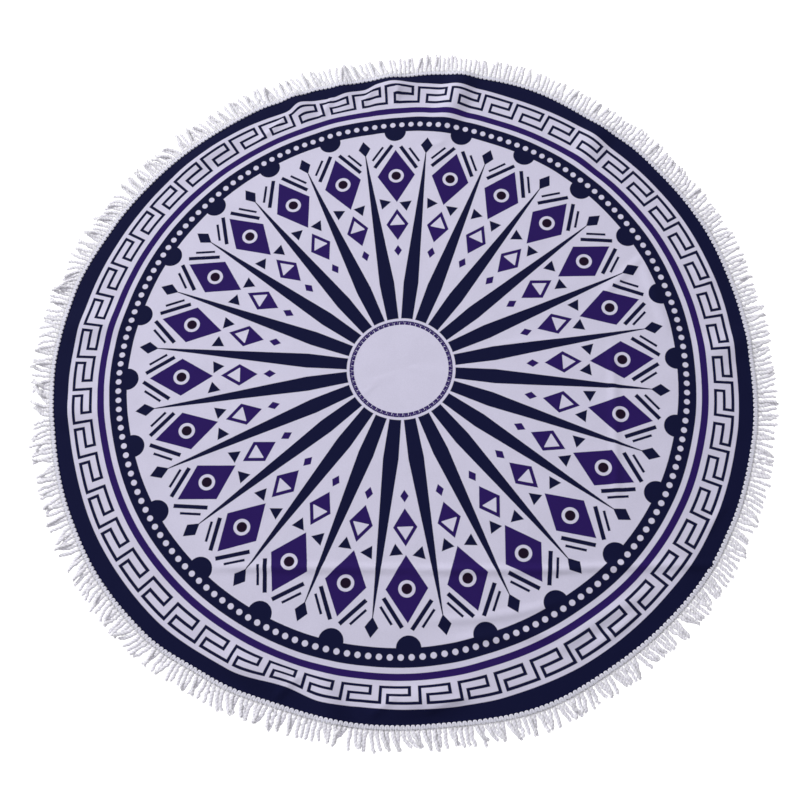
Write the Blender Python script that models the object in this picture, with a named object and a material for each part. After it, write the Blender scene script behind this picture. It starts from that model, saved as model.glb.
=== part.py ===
"""Round beach towel: a printed cloth disc laid on the floor, with a fringe trim round its edge.

Metres, +Z up. The origin is on the floor under the middle of the cloth. The cloth lies flat but for
the soft ridges near its edge, where the sewn trim gathers it. The trim is a heading strip that lies
beside the cloth's edge, and cords that leave the strip and rest on the floor.
"""

import math
from collections import namedtuple

import bmesh
import bpy
import numpy as np

# ---- driving dimensions -------------------------------------------------------------------------
CLOTH_THICKNESS = 0.002
HEADING_WIDTH = 0.010
HEADING_THICKNESS = 0.003
HEADING_GAP = 0.0003          # clear space between the cloth's edge and the heading
CORD_COUNT = 288
CORD_LENGTH = 0.035
CORD_WIDTH = 0.0064
CORD_HEIGHT = 0.0045

# The cloth wasn't laid, cut or gathered quite round: radius of its edge at some angles.
EdgePoint = namedtuple("EdgePoint", "angle_deg radius")
EDGE = [
    EdgePoint(0, 0.690), EdgePoint(12, 0.691), EdgePoint(26, 0.696), EdgePoint(36, 0.697),
    EdgePoint(44, 0.701), EdgePoint(50, 0.6995), EdgePoint(66, 0.709), EdgePoint(80, 0.704),
    EdgePoint(92, 0.689), EdgePoint(100, 0.6865), EdgePoint(105, 0.691), EdgePoint(109, 0.688),
    EdgePoint(115, 0.693), EdgePoint(122, 0.6915), EdgePoint(138, 0.695), EdgePoint(150, 0.698),
    EdgePoint(163, 0.705), EdgePoint(169, 0.704), EdgePoint(176, 0.7065), EdgePoint(188, 0.703),
    EdgePoint(203, 0.7065), EdgePoint(214, 0.7095), EdgePoint(226, 0.7075), EdgePoint(238, 0.696),
    EdgePoint(251, 0.687), EdgePoint(262, 0.689), EdgePoint(273, 0.688), EdgePoint(292, 0.7025),
    EdgePoint(301, 0.700), EdgePoint(324, 0.7035), EdgePoint(330, 0.701), EdgePoint(345, 0.696),
]

# Soft ridges in the cloth. Each is a long low swelling with its middle at an angle and a radius.
# Its length runs outwards along the radius where turn_deg is 0, and along the edge where it is 90.
Ridge = namedtuple("Ridge", "angle_deg radius height half_width half_length turn_deg")
RIDGES = [
    Ridge(78, 0.650, 0.012, 0.046, 0.130, -8),
    Ridge(90, 0.672, 0.011, 0.040, 0.062, 62),
    Ridge(99.5, 0.672, 0.006, 0.034, 0.060, 20),
    Ridge(108.5, 0.668, 0.010, 0.036, 0.064, 24),
    Ridge(128, 0.660, 0.006, 0.040, 0.140, 90),
    Ridge(169, 0.650, 0.005, 0.050, 0.110, 12),
    Ridge(186, 0.660, 0.005, 0.046, 0.090, -14),
    Ridge(243, 0.648, 0.009, 0.040, 0.120, 84),
    Ridge(257, 0.655, 0.009, 0.036, 0.080, 40),
    Ridge(272, 0.645, 0.009, 0.042, 0.130, 92),
    Ridge(322, 0.640, 0.004, 0.046, 0.110, -20),
    Ridge(2, 0.655, 0.006, 0.044, 0.090, 16),
    Ridge(50, 0.660, 0.007, 0.046, 0.090, 10),
]

# Waves round the towel: each has so many crests in a turn, of this size, with one at at_deg.
Wave = namedtuple("Wave", "per_turn size at_deg")
CORD_REACH = [Wave(1, 0.0045, 50), Wave(29, 0.0022, 5), Wave(101, 0.0015, 1)]   # added to the length
CORD_SWAY = [Wave(41, 0.0030, 3), Wave(73, 0.0020, 1), Wave(17, 0.0015, 9)]     # sideways at the tip

# ---- how finely the shapes are stepped ----------------------------------------------------------
CLOTH_STATIONS = 216          # round the cloth
CLOTH_RINGS = (0.72, 0.77, 0.81, 0.85, 0.885, 0.92, 0.95, 0.975, 1.0)   # shares of the edge radius
HEADING_STATIONS = 2 * CORD_COUNT
CORD_STEPS = 2                # sections along a cord, past its root

# ---- finishes -----------------------------------------------------------------------------------
CLOTH_COLOUR = (0.115, 0.105, 0.190)      # the navy and lavender print seen as one tone
TRIM_COLOUR = (0.78, 0.77, 0.80)


def edge_radius(angle):
    """Radius of the cloth's edge: each row of EDGE is reached level, with an even swing between."""
    degrees = np.degrees(angle) % 360.0
    knots = np.array([point.angle_deg for point in EDGE] + [EDGE[0].angle_deg + 360.0])
    radii = np.array([point.radius for point in EDGE] + [EDGE[0].radius])
    left = np.clip(np.searchsorted(knots, degrees, side="right") - 1, 0, len(EDGE) - 1)
    share = (degrees - knots[left]) / (knots[left + 1] - knots[left])
    swing = share * share * (3.0 - 2.0 * share)
    return radii[left] + (radii[left + 1] - radii[left]) * swing


def swell(distance):
    """One at the middle, falling to nothing, level at both ends, a distance of 1 away."""
    return 0.5 + 0.5 * np.cos(math.pi * np.clip(distance, -1.0, 1.0))


def lift(radius, angle):
    """Height of the cloth's underside over the floor: the highest ridge that covers the point."""
    height = np.zeros(np.broadcast(radius, angle).shape)
    for ridge in RIDGES:
        middle = math.radians(ridge.angle_deg)
        outwards = radius * np.cos(angle - middle) - ridge.radius
        sideways = radius * np.sin(angle - middle)
        turn = math.radians(ridge.turn_deg)
        along = outwards * math.cos(turn) + sideways * math.sin(turn)
        across = sideways * math.cos(turn) - outwards * math.sin(turn)
        bump = ridge.height * swell(along / ridge.half_length) * swell(across / ridge.half_width)
        height = np.maximum(height, bump)
    return height


def summed(waves, angle):
    """The waves of a table, added up at an angle."""
    return sum(wave.size * math.cos(wave.per_turn * (angle - math.radians(wave.at_deg)))
               for wave in waves)


def polar_points(radius, angle, height):
    """One row of x, y and z for each radius, angle and height."""
    return np.stack([radius * np.cos(angle), radius * np.sin(angle), height], axis=1)


def move_vertices(vertices, place):
    """Put each vertex where place says, given the arrays of their radii, angles and heights."""
    points = np.array([vertex.co for vertex in vertices])
    radius = np.hypot(points[:, 0], points[:, 1])
    angle = np.arctan2(points[:, 1], points[:, 0])
    for vertex, point in zip(vertices, place(radius, angle, points[:, 2])):
        vertex.co = point


def turned(profile, closed, stations):
    """A profile in the XZ plane, turned once round Z."""
    mesh = bmesh.new()
    vertices = [mesh.verts.new((x, 0.0, z)) for x, z in profile]
    pairs = list(zip(vertices, vertices[1:]))
    if closed:
        pairs.append((vertices[-1], vertices[0]))
    edges = [mesh.edges.new(pair) for pair in pairs]
    bmesh.ops.spin(mesh, geom=vertices + edges, axis=(0, 0, 1), cent=(0, 0, 0),
                   steps=stations, angle=2.0 * math.pi)
    bmesh.ops.remove_doubles(mesh, verts=mesh.verts, dist=1e-5)
    return mesh


def make_material(name, colour, roughness):
    """A plain Principled material."""
    material = bpy.data.materials.new(name)
    material.use_nodes = True
    shader = material.node_tree.nodes["Principled BSDF"]
    shader.inputs["Base Color"].default_value = (*colour, 1.0)
    shader.inputs["Roughness"].default_value = roughness
    shader.inputs["Metallic"].default_value = 0.0
    return material


def finish_object(name, mesh, material, collection):
    """Write the mesh into a named object with its material, smooth but for its sharp edges."""
    bmesh.ops.recalc_face_normals(mesh, faces=mesh.faces)
    data = bpy.data.meshes.new(name)
    mesh.to_mesh(data)
    mesh.free()
    data.shade_smooth()
    data.set_sharp_from_angle(angle=math.radians(50))
    data.materials.append(material)
    obj = bpy.data.objects.new(name, data)
    collection.objects.link(obj)
    return obj


def build_towel(collection):
    """The cloth: a flat disc, drawn out to its uneven edge, lifted by its ridges, then made thick."""
    mesh = turned([(0.0, 0.0)] + [(share, 0.0) for share in CLOTH_RINGS], False, CLOTH_STATIONS)

    def lay(share, angle, height):
        radius = share * edge_radius(angle)
        return polar_points(radius, angle, lift(radius, angle))

    move_vertices(list(mesh.verts), lay)
    made = bmesh.ops.extrude_face_region(mesh, geom=list(mesh.faces), use_keep_orig=True)
    top = [item for item in made["geom"] if isinstance(item, bmesh.types.BMVert)]
    bmesh.ops.translate(mesh, verts=top, vec=(0.0, 0.0, CLOTH_THICKNESS))
    material = make_material("printed cloth", CLOTH_COLOUR, 0.9)
    return finish_object("towel", mesh, material, collection)


def draw_cord_section(face, share):
    """Move a cord's end face out to its place, a share of the way along, and give it its size."""
    root = face.calc_center_median()
    angle = math.atan2(root.y, root.x)
    outwards = np.array([math.cos(angle), math.sin(angle)])
    sideways = np.array([-math.sin(angle), math.cos(angle)])
    root_radius = edge_radius(angle) + HEADING_GAP + HEADING_WIDTH
    radius = root_radius + share * (CORD_LENGTH + summed(CORD_REACH, angle))
    middle = radius * outwards + share ** 2 * summed(CORD_SWAY, angle) * sideways
    floor_height = float(lift(root_radius, angle)) * (1.0 - share) ** 2
    for vertex in face.verts:
        from_root = np.array((vertex.co - root).to_2d())
        side = math.copysign(0.5 * CORD_WIDTH, np.dot(from_root, sideways))
        height = floor_height + (CORD_HEIGHT if vertex.co.z > root.z else 0.0)
        vertex.co = (*(middle + side * sideways), height)


def build_fringe(collection):
    """The trim: a turned strip laid along the cloth's edge, a cord drawn out of every other face."""
    section = [(1.0, 0.0), (2.0, 0.0), (2.0, 1.0), (1.0, 1.0)]     # laid to real size below
    mesh = turned(section, True, HEADING_STATIONS)
    bmesh.ops.recalc_face_normals(mesh, faces=mesh.faces)
    outer = [face for face in mesh.faces if face.calc_center_median().to_2d().length > 1.9]
    outer.sort(key=lambda face: math.atan2(face.calc_center_median().y, face.calc_center_median().x))
    ends = outer[::2]

    def lay(place, angle, height):
        inner = edge_radius(angle) + HEADING_GAP
        radius = inner + (place - 1.0) * HEADING_WIDTH
        return polar_points(radius, angle, lift(inner, angle) + height * HEADING_THICKNESS)

    move_vertices(list(mesh.verts), lay)
    for step in range(1, CORD_STEPS + 1):
        made = bmesh.ops.extrude_discrete_faces(mesh, faces=ends)
        ends = made["faces"]
        for face in ends:
            draw_cord_section(face, step / CORD_STEPS)
    material = make_material("white trim", TRIM_COLOUR, 0.95)
    return finish_object("fringe", mesh, material, collection)


def main():
    """Build the towel in a collection of its own."""
    for obj in list(bpy.data.objects):
        bpy.data.objects.remove(obj, do_unlink=True)
    collection = bpy.data.collections.new("round beach towel")
    bpy.context.scene.collection.children.link(collection)
    build_towel(collection)
    build_fringe(collection)


main()
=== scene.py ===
"""Looks of the round beach towel: its printed cloth and its sewn fringe, with floor, light and camera.

Metres, +Z up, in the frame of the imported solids, whose origin is on the floor under the middle of the
print. Angles run counter-clockwise from +X, as seen from above.
"""

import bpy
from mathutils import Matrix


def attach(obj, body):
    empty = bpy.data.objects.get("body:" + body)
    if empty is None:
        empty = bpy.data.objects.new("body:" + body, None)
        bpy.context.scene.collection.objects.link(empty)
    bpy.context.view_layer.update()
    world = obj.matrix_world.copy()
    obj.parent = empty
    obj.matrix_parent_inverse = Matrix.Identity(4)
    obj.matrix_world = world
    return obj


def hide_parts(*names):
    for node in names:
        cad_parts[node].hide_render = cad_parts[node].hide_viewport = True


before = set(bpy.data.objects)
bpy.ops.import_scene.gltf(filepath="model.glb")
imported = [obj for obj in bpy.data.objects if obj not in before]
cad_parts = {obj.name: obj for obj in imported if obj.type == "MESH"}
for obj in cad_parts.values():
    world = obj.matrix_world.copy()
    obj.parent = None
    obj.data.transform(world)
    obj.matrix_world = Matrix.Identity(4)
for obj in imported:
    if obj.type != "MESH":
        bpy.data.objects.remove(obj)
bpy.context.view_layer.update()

import math
from collections import namedtuple

import bpy
import numpy as np
from mathutils import Matrix, Quaternion, Vector

# ==== The cloth, as it lies ======================================================================
# One round panel of brushed microfibre, 2 mm thick, laid flat on the floor. The trim sewn to its edge
# gathers it there into soft ridges, and it keeps the creases of the way it was folded and packed.
CLOTH_THICKNESS = 0.002
CUT_RADIUS = 0.700                # of the panel before it was sewn
TUCK = 0.003                      # how far the cloth runs on under the trim

# The cloth wasn't laid, cut or gathered quite round: radius of its edge at some angles.
EdgePoint = namedtuple("EdgePoint", "angle_deg radius")
EDGE = [
    EdgePoint(0, 0.690), EdgePoint(12, 0.691), EdgePoint(26, 0.696), EdgePoint(36, 0.697),
    EdgePoint(44, 0.701), EdgePoint(50, 0.6995), EdgePoint(66, 0.709), EdgePoint(80, 0.704),
    EdgePoint(92, 0.689), EdgePoint(100, 0.6865), EdgePoint(105, 0.691), EdgePoint(109, 0.688),
    EdgePoint(115, 0.693), EdgePoint(122, 0.6915), EdgePoint(138, 0.695), EdgePoint(150, 0.698),
    EdgePoint(163, 0.705), EdgePoint(169, 0.704), EdgePoint(176, 0.7065), EdgePoint(188, 0.703),
    EdgePoint(203, 0.7065), EdgePoint(214, 0.7095), EdgePoint(226, 0.7075), EdgePoint(238, 0.696),
    EdgePoint(251, 0.687), EdgePoint(262, 0.689), EdgePoint(273, 0.688), EdgePoint(292, 0.7025),
    EdgePoint(301, 0.700), EdgePoint(324, 0.7035), EdgePoint(330, 0.701), EdgePoint(345, 0.696),
]

# Soft ridges. Each is a long low swelling with its middle at an angle and a radius. Its length runs
# outwards along the radius where turn_deg is 0, and along the edge where it is 90.
Ridge = namedtuple("Ridge", "angle_deg radius height half_width half_length turn_deg")
RIDGES = [
    Ridge(78, 0.650, 0.012, 0.046, 0.130, -8),
    Ridge(90, 0.672, 0.011, 0.040, 0.062, 62),
    Ridge(99.5, 0.672, 0.006, 0.034, 0.060, 20),
    Ridge(108.5, 0.668, 0.010, 0.036, 0.064, 24),
    Ridge(128, 0.660, 0.006, 0.040, 0.140, 90),
    Ridge(169, 0.650, 0.005, 0.050, 0.110, 12),
    Ridge(186, 0.660, 0.005, 0.046, 0.090, -14),
    Ridge(243, 0.648, 0.009, 0.040, 0.120, 84),
    Ridge(257, 0.655, 0.009, 0.036, 0.080, 40),
    Ridge(272, 0.645, 0.009, 0.042, 0.130, 92),
    Ridge(322, 0.640, 0.004, 0.046, 0.110, -20),
    Ridge(2, 0.655, 0.006, 0.044, 0.090, 16),
    Ridge(50, 0.660, 0.007, 0.046, 0.090, 10),
]

# Creases: narrow ridges that run straight from one point to another, but for a bow.
Crease = namedtuple("Crease", "from_x from_y to_x to_y height half_width bow")
CREASES = [
    Crease(-0.400, -0.388, 0.060, -0.407, 0.0040, 0.012, 0.000),     # the long fold of storage
    Crease(-0.020, -0.404, 0.360, -0.417, 0.0043, 0.012, -0.002),
    Crease(0.260, -0.414, 0.600, -0.418, 0.0040, 0.013, 0.002),
    Crease(0.422, 0.060, 0.398, -0.320, 0.0027, 0.014, 0.004),       # its cross fold
    Crease(0.200, 0.047, 0.345, 0.041, 0.0016, 0.009, 0.003),
    Crease(0.030, -0.500, 0.300, -0.470, 0.0024, 0.014, -0.012),
    Crease(0.060, -0.545, 0.340, -0.545, 0.0026, 0.016, 0.012),
    Crease(0.250, -0.575, 0.470, -0.450, 0.0030, 0.020, 0.006),
    Crease(0.330, -0.560, 0.420, -0.500, 0.0026, 0.012, -0.004),
    Crease(0.405, 0.130, 0.520, 0.235, 0.0022, 0.016, 0.006),
    Crease(0.500, 0.250, 0.545, 0.040, 0.0024, 0.020, -0.006),
    Crease(0.050, 0.503, 0.110, 0.522, 0.0018, 0.010, 0.002),
    Crease(-0.069, -0.050, -0.031, -0.009, 0.0009, 0.009, 0.002),
    Crease(0.047, -0.038, 0.086, 0.007, 0.0012, 0.012, -0.004),
    Crease(-0.040, 0.037, 0.001, -0.010, 0.0006, 0.010, 0.002),
    Crease(-0.031, -0.020, 0.050, 0.003, 0.0007, 0.009, 0.003),
    Crease(-0.230, 0.615, -0.300, 0.545, 0.0036, 0.009, 0.003),      # where the trim gathers it
    Crease(-0.135, 0.655, -0.165, 0.590, 0.0032, 0.009, 0.002),
    Crease(-0.040, 0.668, -0.075, 0.615, 0.0032, 0.009, -0.002),
    Crease(0.010, 0.672, 0.000, 0.620, 0.0032, 0.010, 0.002),
    Crease(-0.250, -0.640, -0.190, -0.590, 0.0028, 0.010, 0.003),
    Crease(-0.080, -0.672, -0.020, -0.630, 0.0028, 0.010, -0.003),
    Crease(0.020, -0.668, 0.110, -0.640, 0.0024, 0.010, 0.003),
    Crease(0.560, -0.360, 0.610, -0.300, 0.0022, 0.012, 0.003),
    Crease(0.640, 0.150, 0.600, 0.200, 0.0022, 0.012, 0.002),
]
CREASE_FADE = 0.2                 # share of a crease's length that it takes to die out

# The gathering moves the print: how far out, in metres, at two of its rings, and how far aside,
# counter-clockwise, at the band.
Pull = namedtuple("Pull", "angle_deg stripe band aside")
STRIPE_RADIUS = 0.600
BAND_RADIUS = 0.672
INNER_RADIUS = 0.440              # here the cloth has moved by INNER_SHARE of the stripe's pull
INNER_SHARE = 0.4
PULLS = [
    Pull(0, -0.0060, -0.0105, -0.004), Pull(15, -0.0060, -0.0075, -0.004),
    Pull(30, -0.0035, -0.0040, -0.001), Pull(45, -0.0020, -0.0030, 0.001),
    Pull(54, 0.0000, 0.0020, 0.002), Pull(67, 0.0000, 0.0025, 0.002),
    Pull(75, 0.0025, 0.0060, 0.000), Pull(84, 0.0040, 0.0055, 0.000),
    Pull(90, 0.0010, 0.0065, -0.001), Pull(93, 0.0000, 0.0050, -0.001),
    Pull(96, -0.0015, -0.0055, -0.001), Pull(102, -0.0010, -0.0110, -0.001),
    Pull(108, -0.0030, -0.0045, -0.001), Pull(111, -0.0030, -0.0115, -0.002),
    Pull(120, -0.0030, -0.0050, -0.004), Pull(128, -0.0025, -0.0045, -0.003),
    Pull(135, -0.0025, -0.0020, -0.001), Pull(150, -0.0010, -0.0025, 0.004),
    Pull(165, -0.0005, -0.0010, 0.006), Pull(172, 0.0020, 0.0010, 0.003),
    Pull(180, 0.0035, 0.0020, 0.000), Pull(195, 0.0020, 0.0000, -0.003),
    Pull(210, 0.0030, 0.0040, 0.000), Pull(225, 0.0020, 0.0040, 0.001),
    Pull(240, 0.0010, -0.0045, 0.001), Pull(250, 0.0010, -0.0185, -0.001),
    Pull(256, 0.0000, -0.0105, 0.001), Pull(263, -0.0010, -0.0135, 0.000),
    Pull(270, -0.0010, -0.0120, 0.001), Pull(278, -0.0020, -0.0095, 0.004),
    Pull(285, -0.0035, -0.0065, 0.001), Pull(300, -0.0025, -0.0020, 0.000),
    Pull(315, 0.0010, -0.0020, 0.002), Pull(323, 0.0010, 0.0000, 0.004),
    Pull(330, 0.0005, -0.0015, 0.005), Pull(345, -0.0030, -0.0060, -0.001),
]

# Faint waves all over, as no cloth lies quite flat.
WAVE_COUNT = 40
WAVE_HEIGHT = 0.00022             # the typical height of their sum
WAVE_LENGTHS = (0.05, 0.16)       # the shortest and the longest
WAVE_SEED = 11


def swing(share):
    """From 0 to 1 as the share goes there, level at both ends: the share's square, times 3 less twice
    the share."""
    share = np.clip(share, 0.0, 1.0)
    return share * share * (3.0 - 2.0 * share)


def swell(distance):
    """Half of 1 plus a cosine: 1 at the middle, nothing at a distance of 1 and beyond, level at both."""
    return 0.5 + 0.5 * np.cos(math.pi * np.clip(distance, -1.0, 1.0))


def round_the_towel(rows, column, angle):
    """A table's column at any angle: each row is reached level, with an even swing to the next."""
    degrees = np.degrees(angle) % 360.0
    knots = np.array([row.angle_deg for row in rows] + [rows[0].angle_deg + 360.0])
    values = np.array([getattr(row, column) for row in rows] + [getattr(rows[0], column)])
    left = np.clip(np.searchsorted(knots, degrees, side="right") - 1, 0, len(rows) - 1)
    return values[left] + (values[left + 1] - values[left]) * swing(
        (degrees - knots[left]) / (knots[left + 1] - knots[left]))


def edge_radius(angle):
    """Radius of the cloth's visible edge, where the trim begins."""
    return round_the_towel(EDGE, "radius", angle)


def ridge_height(radius, angle):
    """Height of the highest ridge at each point: its own height, times a swell along it and a swell
    across it."""
    height = np.zeros(np.broadcast(radius, angle).shape)
    for ridge in RIDGES:
        middle = math.radians(ridge.angle_deg)
        outwards = radius * np.cos(angle - middle) - ridge.radius
        sideways = radius * np.sin(angle - middle)
        turn = math.radians(ridge.turn_deg)
        along = outwards * math.cos(turn) + sideways * math.sin(turn)
        across = sideways * math.cos(turn) - outwards * math.sin(turn)
        bump = ridge.height * swell(along / ridge.half_length) * swell(across / ridge.half_width)
        height = np.maximum(height, bump)
    return height


def crease_height(x, y):
    """Height of the creases: a swell across each bowed line, which dies out towards the line's ends."""
    height = np.zeros(x.shape)
    for crease in CREASES:
        run = np.array([crease.to_x - crease.from_x, crease.to_y - crease.from_y])
        length = math.hypot(*run)
        along = ((x - crease.from_x) * run[0] + (y - crease.from_y) * run[1]) / length ** 2
        across = ((y - crease.from_y) * run[0] - (x - crease.from_x) * run[1]) / length
        across = across - crease.bow * 4.0 * along * (1.0 - along)
        fade = swing(along / CREASE_FADE) * swing((1.0 - along) / CREASE_FADE)
        height = np.maximum(height, crease.height * fade * swell(across / crease.half_width))
    return height


def unevenness(x, y):
    """A sum of small plane waves, each with its own heading, length and start, scaled to its typical
    height."""
    draw = np.random.default_rng(WAVE_SEED)
    total = np.zeros(x.shape)
    for _ in range(WAVE_COUNT):
        heading, start = draw.uniform(0.0, 2.0 * math.pi, 2)
        length = draw.uniform(*WAVE_LENGTHS)
        total += np.sin((x * math.cos(heading) + y * math.sin(heading)) * 2.0 * math.pi / length + start)
    return WAVE_HEIGHT * total / math.sqrt(WAVE_COUNT / 2.0)


def laid_radius(flat, angle):
    """Radius where a ring of the flat panel comes to lie: its own, and the pull, which swings from knot
    to knot."""
    stripe = round_the_towel(PULLS, "stripe", angle)
    band = round_the_towel(PULLS, "band", angle)
    edge = edge_radius(angle) + TUCK - CUT_RADIUS
    knots = (0.0, INNER_RADIUS, STRIPE_RADIUS, BAND_RADIUS, CUT_RADIUS)
    pulls = (0.0 * stripe, INNER_SHARE * stripe, stripe, band, edge)
    laid = flat
    for start, end, pull, next_pull in zip(knots, knots[1:], pulls, pulls[1:]):
        laid = laid + (next_pull - pull) * swing((flat - start) / (end - start))
    return laid


def laid_angle(flat, angle):
    """Angle where a point of the flat panel comes to lie: its own, and the shift aside at the band, which
    grows up to there, over the band's radius."""
    share = swing((flat - INNER_RADIUS) / (BAND_RADIUS - INNER_RADIUS))
    return angle + round_the_towel(PULLS, "aside", angle) * share / BAND_RADIUS


def polar_grid(rings, stations):
    """The ring's value and the angle of each point of a grid of rings, with even stations on each."""
    angles = np.arange(stations) * 2.0 * math.pi / stations
    return np.meshgrid(np.asarray(rings), angles, indexing="ij")


def ring_quads(ring_count, stations, closed=False):
    """Faces between one ring of points and the next, and where closed also from the last to the first.
    They face up where the next ring is wider."""
    numbers = np.arange(ring_count * stations).reshape(ring_count, stations)
    if closed:
        numbers = np.concatenate([numbers, numbers[:1]])
    after = np.roll(numbers, -1, axis=1)
    return np.stack([numbers[:-1], numbers[1:], after[1:], after[:-1]], axis=-1).reshape(-1, 4)


def make_piece(name, points, faces, corner_maps, material):
    """A smooth mesh object from arrays. Each corner map holds a row for every corner of every face."""
    mesh = bpy.data.meshes.new(name)
    mesh.from_pydata(points.tolist(), [], faces)
    for map_name, corners in corner_maps.items():
        layer = mesh.uv_layers.new(name=map_name)
        layer.data.foreach_set("uv", np.asarray(corners, dtype=np.float32).ravel())
    mesh.shade_smooth()
    mesh.materials.append(material)
    piece = bpy.data.objects.new(name, mesh)
    bpy.context.scene.collection.objects.link(piece)
    return piece


# The panel is one closed profile, carried round: out over the top, over the rim, and back below. Its
# rings lie closer together further out, where most of the creases and all the ridges are. The underside
# follows only the ridges.
STATIONS = 720
RIM_ROUND = 0.0008                # the rim's rounding
RIM_LEVELS = np.array([0.7, 0.3])     # of the two rings on the rim: shares of the thickness
TOP_RINGS = np.concatenate([
    np.linspace(0.025, 0.300, 12),
    np.arange(0.306, 0.500, 0.006),
    np.linspace(0.504, CUT_RADIUS - RIM_ROUND, 42),
])
RIM_RINGS = np.full(len(RIM_LEVELS), CUT_RADIUS)
UNDER_RINGS = np.concatenate([
    [CUT_RADIUS - RIM_ROUND],
    np.arange(0.690, 0.500, -0.010),
    [0.450, 0.400, 0.250, 0.100],
])
rings = np.concatenate([TOP_RINGS, RIM_RINGS, UNDER_RINGS])
levels = np.concatenate([np.ones(len(TOP_RINGS)), RIM_LEVELS, np.zeros(len(UNDER_RINGS))])

flat, angle = polar_grid(rings, STATIONS)
radius, turn = laid_radius(flat, angle), laid_angle(flat, angle)
x, y = radius * np.cos(turn), radius * np.sin(turn)
thickness = CLOTH_THICKNESS + crease_height(x, y) + unevenness(x, y)
z = ridge_height(radius, turn) + levels[:, None] * thickness
poles = np.array([[0.0, 0.0, CLOTH_THICKNESS], [0.0, 0.0, 0.0]])
points = np.concatenate([np.stack([x, y, z], axis=-1).reshape(-1, 3), poles])

quads = ring_quads(len(rings), STATIONS)
top_pole, under_pole = len(points) - 2, len(points) - 1
first = np.arange(STATIONS)
last = first + (len(rings) - 1) * STATIONS
top_fan = np.stack([np.full(STATIONS, top_pole), first, np.roll(first, -1)], axis=-1)
under_fan = np.stack([np.full(STATIONS, under_pole), np.roll(last, -1), last], axis=-1)

# Two maps of the same corners. "print" holds the flat panel's own x and y, a unit across its width,
# and its middle for all of the plain underside. "OFBake" has the top fill the map, and the underside
# with the rim in one of its corners, where the rim's rings, alike in radius, are set a step apart.
BAKE_RADIUS = 0.497
BAKE_CORNER = 0.925
BAKE_CORNER_RADIUS = 0.060
BAKE_RIM_STEP = 0.002
direction = np.stack([np.cos(angle), np.sin(angle)], axis=-1)
reach = (flat / CUT_RADIUS)[..., None]
rim_end = len(TOP_RINGS) + len(RIM_RINGS)
rim_steps = np.clip(rim_end - np.arange(len(rings)), 0, len(RIM_RINGS) + 1)[:, None, None]
middle = np.full((2, 2), 0.5)
corner_middle = np.full((2, 2), BAKE_CORNER)
top_places = np.concatenate([(0.5 + 0.5 * reach * direction).reshape(-1, 2), middle])
top_bakes = np.concatenate([(0.5 + BAKE_RADIUS * reach * direction).reshape(-1, 2), middle])
under_bakes = np.concatenate([
    (BAKE_CORNER + (BAKE_CORNER_RADIUS * reach + BAKE_RIM_STEP * rim_steps) * direction).reshape(-1, 2),
    corner_middle])
top_quads = (len(TOP_RINGS) - 1) * STATIONS
top_corners = np.concatenate([quads[:top_quads].ravel(), top_fan.ravel()])
under_corners = np.concatenate([quads[top_quads:].ravel(), under_fan.ravel()])
parts = (quads[:top_quads], top_fan, quads[top_quads:], under_fan)
faces = [face for part in parts for face in part.tolist()]
print_map = np.concatenate([top_places[top_corners], np.full((len(under_corners), 2), 0.5)])
bake_map = np.concatenate([top_bakes[top_corners], under_bakes[under_corners]])


# ==== The print and the brushed face =============================================================
# Dyes pressed into a white microfibre: navy rays, bands and a key border, violet diamonds, and the bare
# ground between them. Each shape is a distance to its outline, and a dye fades over BLEED there.
BLEED = 0.0011
GROUND = (0.605, 0.582, 0.735, 1.0)
NAVY = (0.0050, 0.0062, 0.0350, 1.0)
VIOLET = (0.0215, 0.0085, 0.1000, 1.0)
PLUM = (0.0110, 0.0040, 0.0170, 1.0)

SECTORS = 24
CENTRE_RING = 0.1092              # the sunburst starts here
RAY_MIDDLE = 0.190                # a ray is widest here
RAY_END = 0.500
RAY_HALF_WIDTHS = (0.0117, 0.0152, 0.0008)       # at its start, its middle and its end
DOT_COUNT = 180
DOT_START_DEG = 0.5

# Motifs along a sector's middle line: distance from the towel's middle, and halves of their size.
Diamond = namedtuple("Diamond", "along half_length half_width")
SMALL_DIAMOND = Diamond(0.264, 0.0125, 0.0081)
WINDOW_DIAMOND = Diamond(0.3253, 0.037, 0.0232)
EYE_DIAMOND = Diamond(0.4425, 0.064, 0.0400)
RAY_TIP = Diamond(0.5165, 0.0195, 0.0130)
WINDOW_START = 0.324
WINDOW_INSET = 0.0067             # of the window, from the diamond's sides
EYE_RINGS = (0.0162, 0.0101)      # radii of the pale ring and of the dark middle
Bar = namedtuple("Bar", "along across length width turn_deg")
BARS = [
    Bar(0.4865, -0.0275, 0.0650, 0.0080, 30.5), Bar(0.4915, -0.0400, 0.0400, 0.0050, 30.5),
    Bar(0.4920, 0.0265, 0.0660, 0.0080, -35.5), Bar(0.4990, 0.0385, 0.0400, 0.0050, -35.5),
]
Triangle = namedtuple("Triangle", "along across corner_radius turn_deg")
TRIANGLES = [Triangle(0.371, -0.019, 0.0150, 184), Triangle(0.377, 0.027, 0.0150, 162)]
Round = namedtuple("Round", "along radius")
HALF_ROUND = Round(0.552, 0.0233)
DOT = Round(0.5685, 0.0058)
Ring = namedtuple("Ring", "inner outer")
DOT_RING = Ring(0.5515, 0.5870)
STRIPE = Ring(0.5975, 0.6110)
KEY_COUNT = 56
Key = namedtuple("Key", "inner middle outer line first_turn last_turn")    # turns as shares of a unit
BORDER_KEY = Key(0.6250, 0.6430, 0.6605, 0.0060, 0.19, 0.74)
CENTRE_KEY = Key(0.0967, 0.0991, 0.1020, 0.0031, 0.30, 0.65)
KEY_START_DEG = 1.6
KEY_OVERLAP = 0.1                 # share of a unit by which its outer line reaches into the next


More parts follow.
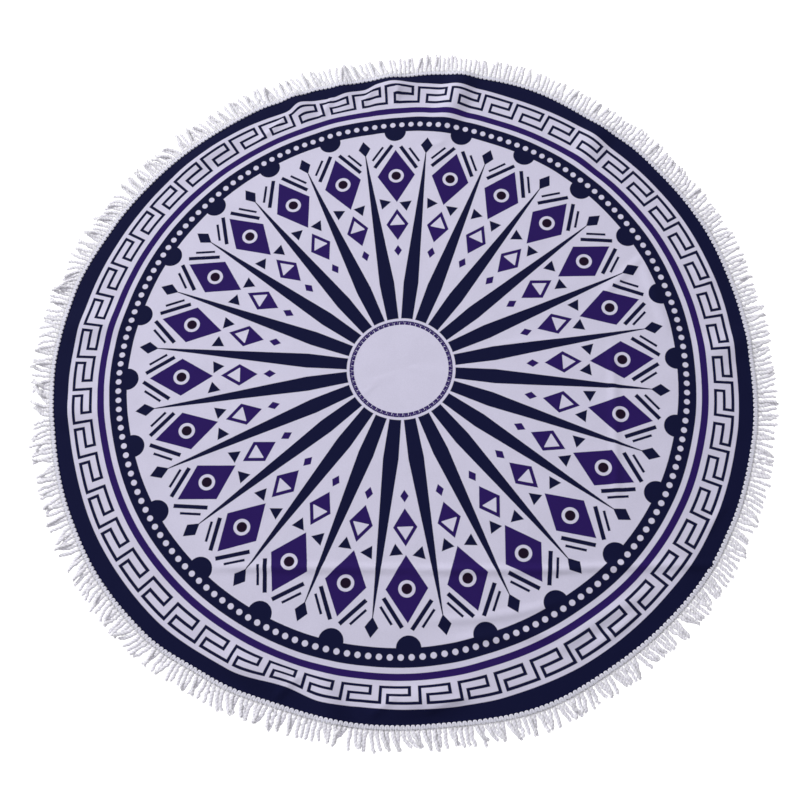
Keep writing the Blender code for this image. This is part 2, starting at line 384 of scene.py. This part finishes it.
class Value:
    """A number that changes over a surface. Arithmetic on it adds Math nodes to its finish."""

    def __init__(self, finish, socket):
        self.finish = finish
        self.socket = socket

    def __add__(self, other):
        return self.finish.math("ADD", self, other)

    __radd__ = __add__

    def __sub__(self, other):
        return self.finish.math("SUBTRACT", self, other)

    def __rsub__(self, other):
        return self.finish.math("SUBTRACT", other, self)

    def __mul__(self, other):
        return self.finish.math("MULTIPLY", self, other)

    __rmul__ = __mul__

    def __neg__(self):
        return self * -1.0

    def __abs__(self):
        return self.finish.math("ABSOLUTE", self)


class Finish:
    """A Principled material. Constants go on its own sockets, and node() adds what varies."""

    def __init__(self, name, constants):
        self.material = bpy.data.materials.new(name)
        self.material.use_nodes = True
        self.tree = self.material.node_tree
        self.shader = self.tree.nodes["Principled BSDF"]
        self.plug(self.shader, constants)

    def plug(self, node, sockets):
        """Give a node's sockets, by name or number, their values or links."""
        for place, item in sockets.items():
            item = getattr(item, "socket", item)
            if isinstance(item, bpy.types.NodeSocket):
                self.tree.links.new(item, node.inputs[place])
            else:
                node.inputs[place].default_value = item

    def node(self, kind, settings, sockets):
        """Add a node of a type, with its settings set before its sockets."""
        made = self.tree.nodes.new("ShaderNode" + kind)
        for name, setting in settings.items():
            setattr(made, name, setting)
        self.plug(made, sockets)
        return made

    def math(self, operation, *items, clamp=False):
        """One of the Math node's operations on numbers and values, kept from 0 to 1 by clamp."""
        settings = {"operation": operation, "use_clamp": clamp}
        return Value(self, self.node("Math", settings, dict(enumerate(items))).outputs[0])

    def mix(self, share, first, second):
        """A colour that goes from the first to the second as the share goes from 0 to 1."""
        made = self.node("Mix", {"data_type": "RGBA"}, {0: share, 6: first, 7: second})
        return made.outputs[2]

    def scaled(self, colour, share):
        """A colour times a share of it, so lighter or darker."""
        made = self.node("VectorMath", {"operation": "SCALE"}, {0: colour, 3: share})
        return made.outputs[0]

    def object_noise(self, noise):
        """Noise over the object's own coordinates, from 0 to 1 and about a half on average."""
        places = self.node("TexCoord", {}, {}).outputs["Object"]
        made = self.node("TexNoise", {}, {"Vector": places, "Scale": noise.scale, "Detail": noise.detail,
                                          "Roughness": noise.roughness})
        return Value(self, made.outputs[0])

    def map_places(self, map_name):
        """The two coordinates of a UV map."""
        places = self.node("UVMap", {"uv_map": map_name}, {}).outputs[0]
        split = self.node("SeparateXYZ", {}, {0: places})
        return Value(self, split.outputs[0]), Value(self, split.outputs[1])

    def bump(self, height, strength):
        """Relief from a height in metres, on the shader's normal."""
        made = self.node("Bump", {}, {"Height": height, "Strength": strength, "Distance": 1.0})
        self.plug(self.shader, {"Normal": made.outputs[0]})


def least(first, *others):
    """The smallest of some values: the union of their shapes."""
    for other in others:
        first = first.finish.math("MINIMUM", first, other)
    return first


def most(first, *others):
    """The largest of some values: what their shapes have in common."""
    for other in others:
        first = first.finish.math("MAXIMUM", first, other)
    return first


def hypotenuse(x, y):
    """The square root of the sum of both squares."""
    return x.finish.math("SQRT", x * x + y * y)


def within(place, start, end):
    """Distance outside a span: the distance from its middle, less half its length."""
    return abs(place - 0.5 * (start + end)) - 0.5 * (end - start)


def diamond(x, y, shape):
    """Distance outside a diamond: how far past its sides the point's shares of its halves come."""
    slope = shape.half_length * shape.half_width / math.hypot(shape.half_length, shape.half_width)
    shares = abs(x - shape.along) * (1.0 / shape.half_length) + abs(y) * (1.0 / shape.half_width)
    return (shares - 1.0) * slope


def bar(x, y, shape):
    """Distance outside a straight bar that is turned about its middle: the larger of those past its
    length and past its width."""
    turn = math.radians(shape.turn_deg)
    x, y = x - shape.along, y - shape.across
    along = x * math.cos(turn) + y * math.sin(turn)
    across = y * math.cos(turn) - x * math.sin(turn)
    return most(abs(along) - 0.5 * shape.length, abs(across) - 0.5 * shape.width)


def triangle(x, y, shape):
    """Distance outside a triangle of equal sides, one of whose corners points to turn_deg: the largest
    of those past its three sides, each half a corner's radius from the middle."""
    x, y = x - shape.along, y - shape.across
    turns = [math.radians(shape.turn_deg + third) for third in (0, 120, 240)]
    sides = [x * -math.cos(turn) + y * -math.sin(turn) for turn in turns]
    return most(*sides) - 0.5 * shape.corner_radius


def key_pattern(radius, turn, key):
    """Distance outside the key border's line, which runs from its inner ring up to its outer one, and
    back inside: the least of those from the middles of its strokes, less half its width."""
    unit = 2.0 * math.pi / KEY_COUNT
    back = KEY_OVERLAP * unit
    from_start = turn.finish.math("WRAP", turn - math.radians(KEY_START_DEG), unit - back, -back)
    along = from_start * key.middle
    length = unit * key.middle
    near, far = key.first_turn * length, key.last_turn * length
    end = length - back * key.middle
    inner, middle, outer = (abs(radius - place) for place in (key.inner, key.middle, key.outer))
    strokes = [
        most(abs(along), within(radius, key.inner, key.outer)),
        most(inner, within(along, 0.0, far)),
        most(abs(along - far), within(radius, key.inner, key.middle)),
        most(middle, within(along, near, far)),
        most(abs(along - near), within(radius, key.middle, key.outer)),
        most(outer, within(along, near, end)),
        most(outer, within(along, -2.0 * back * key.middle, 0.0)),
    ]
    return least(*strokes) - 0.5 * key.line


def in_sector(radius, turn, offset):
    """Places along and across the middle line of the nearest sector, with the sectors turned back by
    an offset: the radius times the cosine and the sine of the angle from that line."""
    finish = turn.finish
    half_sector = math.pi / SECTORS
    off_middle = finish.math("WRAP", turn + offset, half_sector, -half_sector)
    return radius * finish.math("COSINE", off_middle), radius * finish.math("SINE", off_middle)


def ray(radius, along, across):
    """Distance outside a ray: past its half width, which grows evenly to its middle and shrinks evenly
    from there, or past one of its ends."""
    start, widest, end = RAY_HALF_WIDTHS
    widening = (widest - start) / (RAY_MIDDLE - CENTRE_RING)
    narrowing = (end - widest) / (RAY_END - RAY_MIDDLE)
    half_width = least((along - CENTRE_RING) * widening + start, (along - RAY_MIDDLE) * narrowing + widest)
    return most(abs(across) - half_width, CENTRE_RING - radius, along - RAY_END)


def dotted_ring(radius, turn, along, across):
    """Distance outside the dark ring and its half rounds, or inside one of the dots on it."""
    half_round = hypotenuse(along - HALF_ROUND.along, across) - HALF_ROUND.radius
    half_pitch = math.pi / DOT_COUNT
    off_dot = turn.finish.math("WRAP", turn - math.radians(DOT_START_DEG), half_pitch, -half_pitch)
    dot = hypotenuse(radius - DOT.along, off_dot * DOT.along) - DOT.radius
    return most(least(within(radius, *DOT_RING), half_round), -dot)


def dyed(finish, distance):
    """How much dye there is: all inside the outline, none outside it, half on it."""
    return finish.math("MULTIPLY_ADD", distance, -1.0 / BLEED, 0.5, clamp=True)


def print_colour(finish):
    """The print's colour at the flat panel's own place: its dyes, one over the other, on the ground."""
    u, v = finish.map_places("print")
    x, y = (u - 0.5) * (2.0 * CUT_RADIUS), (v - 0.5) * (2.0 * CUT_RADIUS)
    radius = hypotenuse(x, y)
    turn = finish.math("ARCTAN2", y, x)
    along, across = in_sector(radius, turn, 0.0)
    ray_along, ray_across = in_sector(radius, turn, math.pi / SECTORS)

    navy = least(
        ray(radius, ray_along, ray_across), diamond(ray_along, ray_across, RAY_TIP),
        dotted_ring(radius, turn, along, across),
        *[bar(along, across, shape) for shape in BARS],
        *[triangle(along, across, shape) for shape in TRIANGLES],
        key_pattern(radius, turn, BORDER_KEY), BAND_RADIUS - radius)

    window_side = diamond(along, across, WINDOW_DIAMOND)
    window = most(window_side + WINDOW_INSET, WINDOW_START - along)
    violet = least(
        diamond(along, across, SMALL_DIAMOND), most(window_side, -window),
        diamond(along, across, EYE_DIAMOND), within(radius, *STRIPE),
        key_pattern(radius, turn, CENTRE_KEY))
    from_eye = hypotenuse(along - EYE_DIAMOND.along, across)

    colour = finish.mix(dyed(finish, violet), GROUND, VIOLET)
    colour = finish.mix(dyed(finish, from_eye - EYE_RINGS[0]), colour, GROUND)
    colour = finish.mix(dyed(finish, from_eye - EYE_RINGS[1]), colour, PLUM)
    return finish.mix(dyed(finish, navy), colour, NAVY)


# The brushed face: loops and nap under a millimetre, a cloudy tone where the nap lies one way or the
# other, and a faint crumple.
Noise = namedtuple("Noise", "scale detail roughness")
NAP = Noise(700.0, 2.0, 0.6)
CLOUDS = Noise(14.0, 3.0, 0.55)
CRUMPLE = Noise(32.0, 3.0, 0.5)
NAP_TONE = 0.22                   # share of the colour that it changes
CLOUD_TONE = 0.10
NAP_HEIGHT = 0.00030
CRUMPLE_HEIGHT = 0.0012
CLOTH_RELIEF = 0.5                # strength of these heights on the shader's normal

cloth_finish = Finish("printed microfibre", {
    "Roughness": 0.9, "Sheen Weight": 0.02, "Sheen Roughness": 0.5, "Specular IOR Level": 0.08})
nap = cloth_finish.object_noise(NAP)
tone = (cloth_finish.object_noise(CLOUDS) - 0.5) * CLOUD_TONE + (nap - 0.5) * NAP_TONE + 1.0
face_colour = cloth_finish.scaled(print_colour(cloth_finish), tone)
cloth_finish.plug(cloth_finish.shader, {"Base Color": face_colour})
cloth_finish.bump(nap * NAP_HEIGHT + cloth_finish.object_noise(CRUMPLE) * CRUMPLE_HEIGHT, CLOTH_RELIEF)

cloth = make_piece("cloth", points, faces, {"print": print_map, "OFBake": bake_map},
                   cloth_finish.material)
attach(cloth, "root")
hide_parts("towel")


# ==== The trim's heading =========================================================================
# A knitted white braid, about a centimetre wide, stitched on top of the cloth's raw edge. Its yarn
# runs to and fro across it in close ribs, and turns round in a small picot at the inner edge.
CORD_COUNT = 468                  # and of picots
HEADING_REACH = 0.0085            # beyond the cloth's visible edge
PICOT_DEPTH = 0.0042
PICOT_STATIONS = 8                # round the towel, for each picot
RIBS_PER_PICOT = 2
STITCHES_PER_RIB = 4
STITCH_SLANT = 60.0               # radians that the stitches lag from one edge of the braid to the other
BRAID_WHITE = (0.765, 0.755, 0.870)
RIB_PAINTED_SHADE = 0.16                   # share of the colour by which the valleys between the ribs are painted darker, as painted shade
STITCH_PAINTED_SHADE = 0.02
BRAID_FLUFF = Noise(900.0, 2.0, 0.6)
BRAID_FLUFF_TONE = 0.10
STITCH_HEIGHT = 0.00025
BRAID_FLUFF_HEIGHT = 0.0002
BRAID_RELIEF = 0.6

# The braid's cross-section, from the picots' tips over the top and back below: how far across it, from
# 0 at the picots' tips to 1 at the cords, how high over the cloth's underside, and how much of the
# height swells with each picot and with each rib.
Section = namedtuple("Section", "across height picot rib")
SECTIONS = [
    Section(0.00, 0.0022, 0.0, 0.0), Section(0.00, 0.0028, 0.2, 0.0), Section(0.06, 0.0034, 0.6, 0.0),
    Section(0.17, 0.0037, 1.0, 0.2), Section(0.30, 0.0035, 0.6, 0.7), Section(0.45, 0.0035, 0.2, 1.0),
    Section(0.62, 0.0034, 0.0, 1.0), Section(0.80, 0.0031, 0.0, 1.0), Section(1.00, 0.0022, 0.0, 1.0),
    Section(1.00, 0.0010, 0.0, 0.0), Section(0.60, 0.0006, 0.0, 0.0), Section(0.46, 0.0021, 0.0, 0.0),
]
PICOT_SWELL = 0.0004
PICOT_MEAN = 0.5                  # what a picot's swell counts from
RIB_SWELL = 0.0011
RIB_MEAN = 0.6


def picot(angle):
    """Each picot's half round: 1 at its middle, nothing where it meets the next."""
    place = 2.0 * (angle * CORD_COUNT / (2.0 * math.pi) % 1.0) - 1.0
    return np.sqrt(np.clip(1.0 - place * place, 0.0, 1.0))


def rib(angle):
    """Each rib's rounded top: the size of a sine, which has its sharp valleys between the ribs."""
    return np.abs(np.sin(0.5 * angle * CORD_COUNT * RIBS_PER_PICOT))


section_share, turn = polar_grid(np.arange(len(SECTIONS)) / len(SECTIONS), CORD_COUNT * PICOT_STATIONS)
across, base, picot_part, rib_part = (np.array(column)[:, None] for column in zip(*SECTIONS))
edge = edge_radius(turn)
inner = edge + PICOT_DEPTH * (PICOT_MEAN - picot(turn))
radius = inner + across * (edge + HEADING_REACH - inner)
swells = (PICOT_SWELL * picot_part * (picot(turn) - PICOT_MEAN)
          + RIB_SWELL * rib_part * (rib(turn) - RIB_MEAN))
z = ridge_height(edge, turn) + base + swells
points = np.stack([radius * np.cos(turn), radius * np.sin(turn), z], axis=-1).reshape(-1, 3)
faces = ring_quads(len(SECTIONS), CORD_COUNT * PICOT_STATIONS, closed=True)


def corner_shares(shares, faces):
    """A share at each face's corners. One that has begun again at 0 within a face is carried on past 1."""
    corners = shares.ravel()[faces]
    begun_again = corners < corners.max(axis=1, keepdims=True) - 0.5
    return np.where(begun_again, corners + 1.0, corners)


# The braid's own map: how far round the towel, and how far along the cross-section.
tape_map = np.stack([corner_shares(turn / (2.0 * math.pi), faces),
                     corner_shares(section_share, faces)], axis=-1).reshape(-1, 2)

tape_finish = Finish("knitted braid", {
    "Roughness": 0.85, "Sheen Weight": 0.10, "Sheen Roughness": 0.5, "Specular IOR Level": 0.3})
u, v = tape_finish.map_places("tape")
rib_turns = u * (math.pi * CORD_COUNT * RIBS_PER_PICOT)
ribs = abs(tape_finish.math("SINE", rib_turns))
stitches = abs(tape_finish.math("SINE", rib_turns * STITCHES_PER_RIB + v * STITCH_SLANT))
fluff = tape_finish.object_noise(BRAID_FLUFF)
# Painted shade: the valleys between the ribs and between the stitches are darker in colour, besides their
# relief.
shade = 1.0 - RIB_PAINTED_SHADE + ribs * RIB_PAINTED_SHADE + stitches * STITCH_PAINTED_SHADE + (fluff - 0.5) * BRAID_FLUFF_TONE
tape_finish.plug(tape_finish.shader, {"Base Color": tape_finish.scaled(BRAID_WHITE, shade)})
tape_finish.bump(stitches * STITCH_HEIGHT + fluff * BRAID_FLUFF_HEIGHT, BRAID_RELIEF)

heading = make_piece("heading", points, faces.tolist(), {"tape": tape_map}, tape_finish.material)
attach(heading, "root")
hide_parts("fringe")


# ==== The cords ==================================================================================
# Short cords of two twisted plies, one for each picot, whose ends are knitted into the heading. They
# lie on the floor as they fell: leaning in tufts, curling, and here and there over one another.
CORD_LENGTH = 0.0415              # from its place in the heading
LENGTH_SPREAD = 0.0022
CORD_SIDES = 5
CORD_SHARES = (0.00, 0.09, 0.18, 0.28, 0.38, 0.49, 0.60, 0.71, 0.82, 0.92, 1.00)    # of its sections
CORD_RADIUS = 0.0038
CORD_FLATNESS = 0.50              # of its height to its width, as it lies
LUMPS = 0.10                      # share by which its width goes up and down, from section to section
WAVER = 0.0008                    # how far its middle line strays there
TIP_RADII = (0.96, 0.55)          # shares of its radius at the last two sections
ROOT_HALVES = (0.0048, 0.0013)    # half its width and height where it is knitted in
ROOT_DEPTH = 0.0035               # how far inside the heading's outer edge that is
ROOT_HEIGHT = 0.0024
CORD_SEED = 54

# Along a cord: it is free of the heading after 1 / FREE_RATE of its length, down from the heading's
# ridge after 1 / LEVEL_RATE of it, and narrowed to its own width after 1 / NARROW_RATE of it.
FREE_RATE = 3.0
LEVEL_RATE = 1.3
NARROW_RATE = 1.1

# Round the towel: its length waves, and the cords are stirred less on the right.
Wave = namedtuple("Wave", "per_turn size at_deg")
LENGTH_WAVES = [Wave(1, 0.0025, 130), Wave(29, 0.0012, 5)]
DISORDER = 0.67
DISORDER_WAVES = [Wave(1, 0.33, 215)]

# The lie of the cords in degrees: its middle, and its spreads from tuft to tuft and from cord to cord.
Lie = namedtuple("Lie", "middle tufts cords")
LEAN = Lie(2.0, 12.0, 5.0)
CURL = Lie(2.0, 33.0, 20.0)
TUFT_CORDS = 8                    # in a tuft, on average
LAYERS = (0, 2, 1, 3)             # which layer each of four cords in a row lies in, 0 the lowest
NEIGHBOURS = (1, -1, 2, -2)       # the cords that a cord can come to lie over


def summed(waves, angle):
    """The waves of a table, added up at each angle: each its size times a cosine."""
    return sum(wave.size * np.cos(wave.per_turn * (angle - math.radians(wave.at_deg))) for wave in waves)


# Each cord's middle line leaves the heading straight, swings to its lean as it comes free, and turns
# evenly by its curl. The line adds up the steps taken that way, outwards and sideways.
draw = np.random.default_rng(CORD_SEED)
cord_angle = (np.arange(CORD_COUNT) + 0.5) * 2.0 * math.pi / CORD_COUNT
length = CORD_LENGTH + summed(LENGTH_WAVES, cord_angle) + draw.normal(0.0, LENGTH_SPREAD, CORD_COUNT)
disorder = DISORDER + summed(DISORDER_WAVES, cord_angle)
tuft = np.cumsum(draw.random(CORD_COUNT) < 1.0 / TUFT_CORDS)
lean, curl = (
    np.radians(lie.middle + disorder * (draw.normal(0.0, lie.tufts, CORD_COUNT)[tuft]
                                        + draw.normal(0.0, lie.cords, CORD_COUNT)))
    for lie in (LEAN, CURL))
share = np.array(CORD_SHARES)
free = swing(share * FREE_RATE)
course = lean[:, None] * free + curl[:, None] * share
step = length[:, None] * np.diff(share, prepend=0.0)
outwards = np.cumsum(np.cos(course) * step, axis=1)
sideways = np.cumsum(np.sin(course) * step, axis=1)
sideways[:, 2:] += draw.normal(0.0, WAVER, (CORD_COUNT, len(share) - 2))
root_radius = edge_radius(cord_angle)[:, None] + HEADING_REACH - ROOT_DEPTH
radial = np.stack([np.cos(cord_angle), np.sin(cord_angle)], axis=-1)[:, None]
tangent = np.stack([-np.sin(cord_angle), np.cos(cord_angle)], axis=-1)[:, None]
line = radial * (root_radius + outwards)[..., None] + tangent * sideways[..., None]

# The cords fell in layers. Where a cord comes closer to one in a lower layer than a cord's width, it
# rises over it: by the height at which two of them just touch.
layer = np.resize(LAYERS, CORD_COUNT)
rise = np.zeros(line.shape[:2])
for upper in sorted(LAYERS)[1:]:
    for neighbour in NEIGHBOURS:
        gap = np.linalg.norm(line[:, :, None] - np.roll(line, neighbour, axis=0)[:, None], axis=-1)
        near = CORD_FLATNESS * np.sqrt(np.clip(4.0 * CORD_RADIUS ** 2 - gap ** 2, 0.0, None))
        over = np.where(near > 0.0, near + np.roll(rise, neighbour, axis=0)[:, None], 0.0).max(axis=2)
        lifted = (layer == upper) & (np.roll(layer, neighbour) < upper)
        rise = np.where(lifted[:, None], np.maximum(rise, over), rise)
ridge = ridge_height(edge_radius(cord_angle), cord_angle)[:, None] * (1.0 - swing(share * LEVEL_RATE))
height = ridge + (1.0 - free) * ROOT_HEIGHT + free * (CORD_FLATNESS * CORD_RADIUS + rise)

# Its section: points round an oval, widest and flattest at the root. The tip closes in.
side = np.arange(CORD_SIDES) * 2.0 * math.pi / CORD_SIDES + 0.5 * math.pi
full = CORD_RADIUS * np.concatenate([np.ones(len(CORD_SHARES) - len(TIP_RADII)), TIP_RADII])
narrowed = swing(share * NARROW_RATE)
half_width = narrowed * full + (1.0 - narrowed) * ROOT_HALVES[0]
half_height = free * CORD_FLATNESS * full + (1.0 - free) * ROOT_HALVES[1]
half_width = half_width * (1.0 + LUMPS * draw.uniform(-1.0, 1.0, (CORD_COUNT, len(share))))
way = np.stack([np.cos(course), np.sin(course)], axis=-1)
beside = radial * -way[..., 1:] + tangent * way[..., :1]
across = half_width[..., None] * np.cos(side)
up = height[..., None] + half_height[:, None] * np.sin(side)
points = np.concatenate([line[:, :, None] + beside[:, :, None] * across[..., None], up[..., None]], axis=-1)
points = points.reshape(-1, 3)

steps = len(CORD_SHARES) - 1
sections = np.arange(CORD_COUNT * (steps + 1) * CORD_SIDES).reshape(CORD_COUNT, steps + 1, CORD_SIDES)
after = np.roll(sections, -1, axis=2)
walls = np.stack([after[:, :-1], after[:, 1:], sections[:, 1:], sections[:, :-1]], axis=-1).reshape(-1, 4)
faces = walls.tolist() + sections[:, 0].tolist() + sections[:, -1, ::-1].tolist()

# Their own map: how far along the cord, and how far round it. The caps lie in a single point of it.
wall_u = np.stack([share[:-1], share[1:], share[1:], share[:-1]], axis=-1)[:, None]
wall_v = (np.arange(CORD_SIDES)[:, None] + np.array([1.0, 1.0, 0.0, 0.0])) / CORD_SIDES
cord_map = np.stack(np.broadcast_arrays(wall_u, wall_v), axis=-1)
wall_map = np.broadcast_to(cord_map, (CORD_COUNT, *cord_map.shape))
cap_map = np.zeros((2 * CORD_COUNT * CORD_SIDES, 2))
strand_map = np.concatenate([wall_map.reshape(-1, 2), cap_map])

# In the bake map each cord has a cell of its own, with both its caps in small squares at its end.
CELLS = (16, 30)
CELL_FILL = 0.86                  # share of a cell's sides that the walls take
CAP_MIDDLE = (0.94, 0.25)         # of the root's cap, in its cell
CAP_HALVES = (0.04, 0.15)
TIP_CAP_SHIFT = (0.0, 0.4)
cell_number = np.arange(CORD_COUNT)
cell = (np.stack([cell_number % CELLS[0], cell_number // CELLS[0]], axis=-1) / CELLS)[:, None]
cell_size = 1.0 / np.array(CELLS)
wall_bake = cell[:, None, None] + wall_map * cell_size * CELL_FILL
round_cap = np.array(CAP_MIDDLE) + CAP_HALVES * np.stack([np.cos(side), np.sin(side)], axis=-1)
root_bake = cell + round_cap * cell_size
tip_bake = cell + (round_cap[::-1] + TIP_CAP_SHIFT) * cell_size
bake_map = np.concatenate([wall_bake.reshape(-1, 2), root_bake.reshape(-1, 2), tip_bake.reshape(-1, 2)])

PLY_TURNS = 3.5                   # of the plies round each other, on each cord
CORD_WHITE = (0.745, 0.732, 0.792)
VALLEY_PAINTED_SHADE_TONE = 0.80                # of the colour in the valleys between the plies, painted darker as shade
PLY_PAINTED_LIGHT = 0.22                   # how much lighter the plies' crests are painted, as painted light
CORD_FLUFF = Noise(420.0, 2.0, 0.6)
CORD_FLUFF_TONE = 0.30
PLY_HEIGHT = 0.0006
CORD_FLUFF_HEIGHT = 0.0003
CORD_RELIEF = 0.7
LIGHT_REACH = 0.0050              # how far light spreads inside the cords

cord_finish = Finish("twisted cord", {
    "Roughness": 0.85, "Sheen Weight": 0.90, "Sheen Roughness": 0.5, "Specular IOR Level": 0.3,
    "Subsurface Weight": 1.0, "Subsurface Radius": (1.0, 1.0, 1.0), "Subsurface Scale": LIGHT_REACH})
u, v = cord_finish.map_places("strand")
plies = abs(cord_finish.math("COSINE", (v - u * PLY_TURNS) * (2.0 * math.pi)))
fluff = cord_finish.object_noise(CORD_FLUFF)
# Painted shade and light: the valleys between the plies are darker in colour and their crests lighter,
# besides the relief.
shade = VALLEY_PAINTED_SHADE_TONE + plies * PLY_PAINTED_LIGHT + (fluff - 0.5) * CORD_FLUFF_TONE
cord_finish.plug(cord_finish.shader, {"Base Color": cord_finish.scaled(CORD_WHITE, shade)})
cord_finish.bump(plies * PLY_HEIGHT + fluff * CORD_FLUFF_HEIGHT, CORD_RELIEF)

cords = make_piece("cords", points, faces, {"strand": strand_map, "OFBake": bake_map},
                   cord_finish.material)
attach(cords, "root")
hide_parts("fringe")


# ==== Floor, light and camera ====================================================================
# A floor that glows white, so that it hardly shows a shadow and lights the cords' sides, as in a picture
# cut out on white. A large soft light stands at the upper left and a weak one overhead, in an even white
# surround. The camera is almost overhead, as the towel was photographed.
FLOOR_HALF = 6.0
FLOOR_LEVEL = -0.0003
FLOOR_GREY = (0.12, 0.12, 0.12, 1.0)
WHITE = (1.0, 1.0, 1.0, 1.0)
FLOOR_GLOW = 1.30
SURROUND_GLOW = 0.24
Lamp = namedtuple("Lamp", "name x y z size power")
LAMPS = [Lamp("key light", -4.8, 4.7, 4.6, 3.0, 600.0), Lamp("top light", 0.0, 0.0, 2.4, 1.0, 14.0)]
CAMERA_PLACE = (0.0776, -0.8059, 2.0459)
CAMERA_AIM = (-0.0040, -0.0665, 0.0)
CAMERA_ROLL_DEG = -8.14
CAMERA_LENS = 49.38               # in millimetres
FRAME_WIDTH = 36.0                # in millimetres

floor_mesh = bpy.data.meshes.new("floor")
corners = [(x * FLOOR_HALF, y * FLOOR_HALF, FLOOR_LEVEL) for x, y in ((-1, -1), (1, -1), (1, 1), (-1, 1))]
floor_mesh.from_pydata(corners, [], [(0, 1, 2, 3)])
floor_finish = Finish("glowing floor", {
    "Base Color": FLOOR_GREY, "Roughness": 1.0, "Specular IOR Level": 0.0,
    "Emission Color": WHITE, "Emission Strength": FLOOR_GLOW})
floor_mesh.materials.append(floor_finish.material)
floor = bpy.data.objects.new("floor", floor_mesh)
bpy.context.scene.collection.objects.link(floor)

surround = bpy.data.worlds.new("surround")
surround.use_nodes = True
backdrop = surround.node_tree.nodes["Background"]
backdrop.inputs["Color"].default_value = WHITE
backdrop.inputs["Strength"].default_value = SURROUND_GLOW
bpy.context.scene.world = surround

for lamp in LAMPS:
    source = bpy.data.lights.new(lamp.name, "AREA")
    source.size = lamp.size
    source.energy = lamp.power
    light = bpy.data.objects.new(lamp.name, source)
    light.location = (lamp.x, lamp.y, lamp.z)
    light.rotation_euler = (-light.location).to_track_quat("-Z", "Y").to_euler()
    bpy.context.scene.collection.objects.link(light)
bpy.context.scene.view_settings.view_transform = "Standard"

camera = bpy.data.objects.new("camera", bpy.data.cameras.new("camera"))
camera.data.sensor_width = FRAME_WIDTH
camera.data.lens = CAMERA_LENS
looking = (Vector(CAMERA_AIM) - Vector(CAMERA_PLACE)).to_track_quat("-Z", "Y")
rolled = looking @ Quaternion((0.0, 0.0, 1.0), math.radians(CAMERA_ROLL_DEG))
camera.matrix_world = Matrix.LocRotScale(Vector(CAMERA_PLACE), rolled, None)
bpy.context.scene.collection.objects.link(camera)
bpy.context.scene.camera = camera
